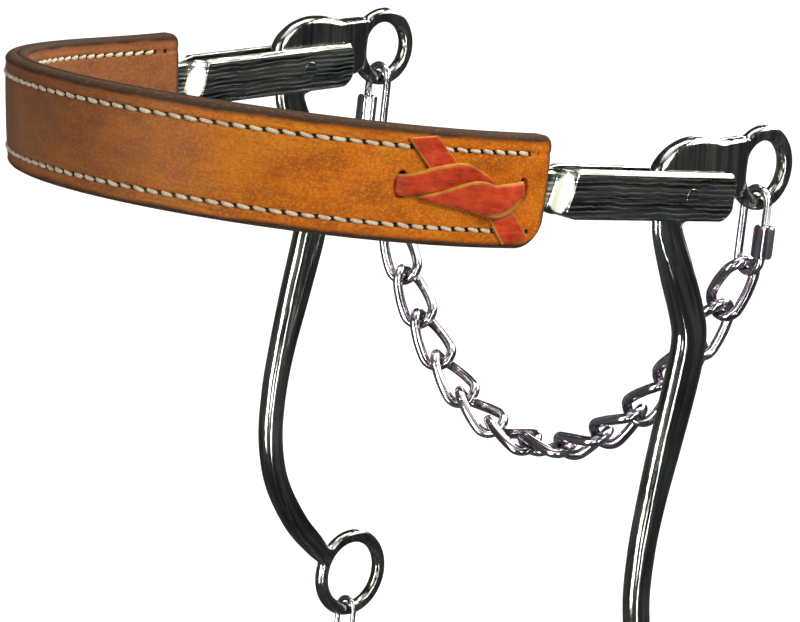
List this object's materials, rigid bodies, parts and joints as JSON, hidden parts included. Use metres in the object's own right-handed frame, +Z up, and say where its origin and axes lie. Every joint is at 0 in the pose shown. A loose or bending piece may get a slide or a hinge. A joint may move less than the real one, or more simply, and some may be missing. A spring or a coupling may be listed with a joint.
{
  "type": "bitless hackamore",
  "caption": "Bitless hackamore: stitched leather noseband, steel forks laced in its ends, pivoting S-shaped shanks, a curb chain on quick links and a hobble chain.",
  "frame": {"origin": "middle of the noseband over the front of the nose, half way up and half way through its thickness", "axes": "+X to the horse's left, +Y rearwards from the nose to the cheeks, +Z up"},
  "size_m": [0.2142, 0.2682, 0.3293],
  "materials": {
    "tan_leather": "grainy waxed saddle leather with burnished edges",
    "lining_leather": "plain matt leather",
    "thread": "waxed cord",
    "latigo": "oiled lace leather",
    "shank_steel": "ground and polished stainless steel",
    "chain_steel": "bright plated steel"
  },
  "bodies": {
    "noseband": {"noseband_outer_leather": "tan_leather", "noseband_lining_leather": "lining_leather", "stitching_outer_upper": "thread", "stitching_outer_lower": "thread", "stitching_lining_upper": "thread", "stitching_lining_lower": "thread", "tie_left": "latigo", "tie_right": "latigo", "fork_left": "shank_steel", "fork_right": "shank_steel", "pivot_pin_left": "shank_steel", "pivot_pin_right": "shank_steel"},
    "shank_left": {"shank_left": "shank_steel"},
    "shank_right": {"shank_right": "shank_steel"},
    "quick_link_left": {"quick_link_left": "chain_steel"},
    "quick_link_right": {"quick_link_right": "chain_steel"},
    "sleeve_left": {"quick_link_sleeve_left": "chain_steel"},
    "sleeve_right": {"quick_link_sleeve_right": "chain_steel"},
    "curb_chain": {"curb_link_02": "chain_steel", "curb_link_04": "chain_steel", "curb_link_06": "chain_steel", "curb_link_08": "chain_steel", "curb_link_10": "chain_steel", "curb_link_12": "chain_steel", "curb_link_14": "chain_steel"},
    "hobble_end_left": {"hobble_end_link_left": "chain_steel"},
    "hobble_end_right": {"hobble_end_link_right": "chain_steel"},
    "hobble_chain": {"hobble_link_02": "chain_steel", "hobble_link_04": "chain_steel", "hobble_link_06": "chain_steel", "hobble_link_08": "chain_steel", "hobble_link_10": "chain_steel", "hobble_link_12": "chain_steel", "hobble_link_14": "chain_steel", "hobble_link_16": "chain_steel", "hobble_link_18": "chain_steel"},
    "curb_link_01": {"curb_link_01": "chain_steel"},
    "curb_link_03": {"curb_link_03": "chain_steel"},
    "curb_link_05": {"curb_link_05": "chain_steel"},
    "curb_link_07": {"curb_link_07": "chain_steel"},
    "curb_link_09": {"curb_link_09": "chain_steel"},
    "curb_link_11": {"curb_link_11": "chain_steel"},
    "curb_link_13": {"curb_link_13": "chain_steel"},
    "curb_link_15": {"curb_link_15": "chain_steel"},
    "hobble_link_01": {"hobble_link_01": "chain_steel"},
    "hobble_link_03": {"hobble_link_03": "chain_steel"},
    "hobble_link_05": {"hobble_link_05": "chain_steel"},
    "hobble_link_07": {"hobble_link_07": "chain_steel"},
    "hobble_link_09": {"hobble_link_09": "chain_steel"},
    "hobble_link_11": {"hobble_link_11": "chain_steel"},
    "hobble_link_13": {"hobble_link_13": "chain_steel"},
    "hobble_link_15": {"hobble_link_15": "chain_steel"},
    "hobble_link_17": {"hobble_link_17": "chain_steel"},
    "hobble_link_19": {"hobble_link_19": "chain_steel"}
  },
  "joints": [
    {"name": "shank_left_pivot", "type": "hinge", "parent": "noseband", "child": "shank_left", "pos_m": [0.09778, 0.18693, -0.00558], "axis": [1, 0, 0], "range_deg": [-20, 35]},
    {"name": "shank_right_pivot", "type": "hinge", "parent": "noseband", "child": "shank_right", "pos_m": [-0.09779, 0.17966, 0.01084], "axis": [1, 0, 0], "range_deg": [-20, 35]},
    {"name": "quick_link_left_hang", "type": "hinge", "parent": "shank_left", "child": "quick_link_left", "pos_m": [0.09778, 0.22923, -0.00387], "axis": [1, 0, 0], "range_deg": [-35, 20]},
    {"name": "sleeve_left_open", "type": "slide", "parent": "quick_link_left", "child": "sleeve_left", "axis": [0, 0, 1], "range_m": [0, 0.0035]},
    {"name": "quick_link_right_hang", "type": "hinge", "parent": "shank_right", "child": "quick_link_right", "pos_m": [-0.09779, 0.22196, 0.01254], "axis": [1, 0, 0], "range_deg": [-35, 20]},
    {"name": "sleeve_right_open", "type": "slide", "parent": "quick_link_right", "child": "sleeve_right", "axis": [0, 0, 1], "range_m": [0, 0.0035]},
    {"name": "curb_chain_swing", "type": "hinge", "parent": "quick_link_left", "child": "curb_chain", "pos_m": [0.09545, 0.22913, -0.03333], "axis": [0.9957, 0.0369, -0.0849], "range_deg": [-20, 35]},
    {"name": "hobble_end_left_hang", "type": "hinge", "parent": "shank_left", "child": "hobble_end_left", "pos_m": [0.09778, 0.24293, -0.22357], "axis": [1, 0, 0], "range_deg": [-35, 20]},
    {"name": "hobble_end_right_hang", "type": "hinge", "parent": "shank_right", "child": "hobble_end_right", "pos_m": [-0.09779, 0.23566, -0.20716], "axis": [1, 0, 0], "range_deg": [-35, 20]},
    {"name": "hobble_chain_swing", "type": "hinge", "parent": "hobble_end_left", "child": "hobble_chain", "pos_m": [0.09474, 0.24278, -0.24142], "axis": [0.9957, 0.0366, -0.0847], "range_deg": [-20, 20]},
    {"name": "curb_link_01_roll", "type": "hinge", "parent": "curb_chain", "child": "curb_link_01", "pos_m": [0.09196, 0.22902, -0.04053], "axis": [-0.4407, -0.0194, -0.8974], "range_deg": [-8, 8]},
    {"name": "curb_link_03_roll", "type": "hinge", "parent": "curb_chain", "child": "curb_link_03", "pos_m": [0.07283, 0.22831, -0.07328], "axis": [-0.5779, -0.0267, -0.8157], "range_deg": [-8, 8]},
    {"name": "curb_link_05_roll", "type": "hinge", "parent": "curb_chain", "child": "curb_link_05", "pos_m": [0.04719, 0.22735, -0.101], "axis": [-0.7852, -0.0377, -0.6181], "range_deg": [-8, 8]},
    {"name": "curb_link_07_roll", "type": "hinge", "parent": "curb_chain", "child": "curb_link_07", "pos_m": [0.01333, 0.22609, -0.1166], "axis": [-0.9855, -0.0483, -0.1624], "range_deg": [-8, 8]},
    {"name": "curb_link_09_roll", "type": "hinge", "parent": "curb_chain", "child": "curb_link_09", "pos_m": [-0.02333, 0.22473, -0.11148], "axis": [-0.9089, -0.0445, 0.4147], "range_deg": [-8, 8]},
    {"name": "curb_link_11_roll", "type": "hinge", "parent": "curb_chain", "child": "curb_link_11", "pos_m": [-0.05339, 0.22361, -0.08899], "axis": [-0.6791, -0.0325, 0.7333], "range_deg": [-8, 8]},
    {"name": "curb_link_13_roll", "type": "hinge", "parent": "curb_chain", "child": "curb_link_13", "pos_m": [-0.07566, 0.22278, -0.05836], "axis": [-0.506, -0.0233, 0.8622], "range_deg": [-8, 8]},
    {"name": "curb_link_15_roll", "type": "hinge", "parent": "curb_chain", "child": "curb_link_15", "pos_m": [-0.09258, 0.22215, -0.02439], "axis": [-0.3945, -0.0173, 0.9187], "range_deg": [-8, 8]},
    {"name": "hobble_link_01_roll", "type": "hinge", "parent": "hobble_chain", "child": "hobble_link_01", "pos_m": [0.09143, 0.24269, -0.24516], "axis": [-0.662, -0.0334, -0.7488], "range_deg": [-8, 8]},
    {"name": "hobble_link_03_roll", "type": "hinge", "parent": "hobble_chain", "child": "hobble_link_03", "pos_m": [0.0741, 0.24205, -0.26228], "axis": [-0.7599, -0.0381, -0.6489], "range_deg": [-8, 8]},
    {"name": "hobble_link_05_roll", "type": "hinge", "parent": "hobble_chain", "child": "hobble_link_05", "pos_m": [0.05427, 0.24131, -0.27637], "axis": [-0.8655, -0.0432, -0.4991], "range_deg": [-8, 8]},
    {"name": "hobble_link_07_roll", "type": "hinge", "parent": "hobble_chain", "child": "hobble_link_07", "pos_m": [0.03199, 0.24049, -0.28606], "axis": [-0.9568, -0.0476, -0.2867], "range_deg": [-8, 8]},
    {"name": "hobble_link_09_roll", "type": "hinge", "parent": "hobble_chain", "child": "hobble_link_09", "pos_m": [0.00804, 0.23959, -0.28988], "axis": [-0.9985, -0.0497, -0.0227], "range_deg": [-8, 8]},
    {"name": "hobble_link_11_roll", "type": "hinge", "parent": "hobble_chain", "child": "hobble_link_11", "pos_m": [-0.01606, 0.2387, -0.28712], "axis": [-0.9681, -0.0482, 0.246], "range_deg": [-8, 8]},
    {"name": "hobble_link_13_roll", "type": "hinge", "parent": "hobble_chain", "child": "hobble_link_13", "pos_m": [-0.03868, 0.23786, -0.27831], "axis": [-0.8823, -0.044, 0.4686], "range_deg": [-8, 8]},
    {"name": "hobble_link_15_roll", "type": "hinge", "parent": "hobble_chain", "child": "hobble_link_15", "pos_m": [-0.05894, 0.23711, -0.26484], "axis": [-0.7771, -0.039, 0.6281], "range_deg": [-8, 8]},
    {"name": "hobble_link_17_roll", "type": "hinge", "parent": "hobble_chain", "child": "hobble_link_17", "pos_m": [-0.07666, 0.23645, -0.24814], "axis": [-0.6772, -0.0341, 0.735], "range_deg": [-8, 8]},
    {"name": "hobble_link_19_roll", "type": "hinge", "parent": "hobble_chain", "child": "hobble_link_19", "pos_m": [-0.09212, 0.23587, -0.2293], "axis": [-0.5913, -0.03, 0.8059], "range_deg": [-8, 8]}
  ],
  "couplings": [
    {"joint": "shank_right_pivot", "follows": "shank_left_pivot", "ratio": 1},
    {"joint": "quick_link_left_hang", "follows": "shank_left_pivot", "ratio": -1},
    {"joint": "quick_link_right_hang", "follows": "shank_left_pivot", "ratio": -1},
    {"joint": "curb_chain_swing", "follows": "shank_left_pivot", "ratio": 1},
    {"joint": "hobble_end_left_hang", "follows": "shank_left_pivot", "ratio": -1},
    {"joint": "hobble_end_right_hang", "follows": "shank_left_pivot", "ratio": -1},
    {"joint": "curb_link_03_roll", "follows": "curb_link_01_roll", "ratio": 1},
    {"joint": "curb_link_05_roll", "follows": "curb_link_01_roll", "ratio": 1},
    {"joint": "curb_link_07_roll", "follows": "curb_link_01_roll", "ratio": 1},
    {"joint": "curb_link_09_roll", "follows": "curb_link_01_roll", "ratio": 1},
    {"joint": "curb_link_11_roll", "follows": "curb_link_01_roll", "ratio": 1},
    {"joint": "curb_link_13_roll", "follows": "curb_link_01_roll", "ratio": 1},
    {"joint": "curb_link_15_roll", "follows": "curb_link_01_roll", "ratio": 1},
    {"joint": "hobble_link_03_roll", "follows": "hobble_link_01_roll", "ratio": 1},
    {"joint": "hobble_link_05_roll", "follows": "hobble_link_01_roll", "ratio": 1},
    {"joint": "hobble_link_07_roll", "follows": "hobble_link_01_roll", "ratio": 1},
    {"joint": "hobble_link_09_roll", "follows": "hobble_link_01_roll", "ratio": 1},
    {"joint": "hobble_link_11_roll", "follows": "hobble_link_01_roll", "ratio": 1},
    {"joint": "hobble_link_13_roll", "follows": "hobble_link_01_roll", "ratio": 1},
    {"joint": "hobble_link_15_roll", "follows": "hobble_link_01_roll", "ratio": 1},
    {"joint": "hobble_link_17_roll", "follows": "hobble_link_01_roll", "ratio": 1},
    {"joint": "hobble_link_19_roll", "follows": "hobble_link_01_roll", "ratio": 1}
  ]
}
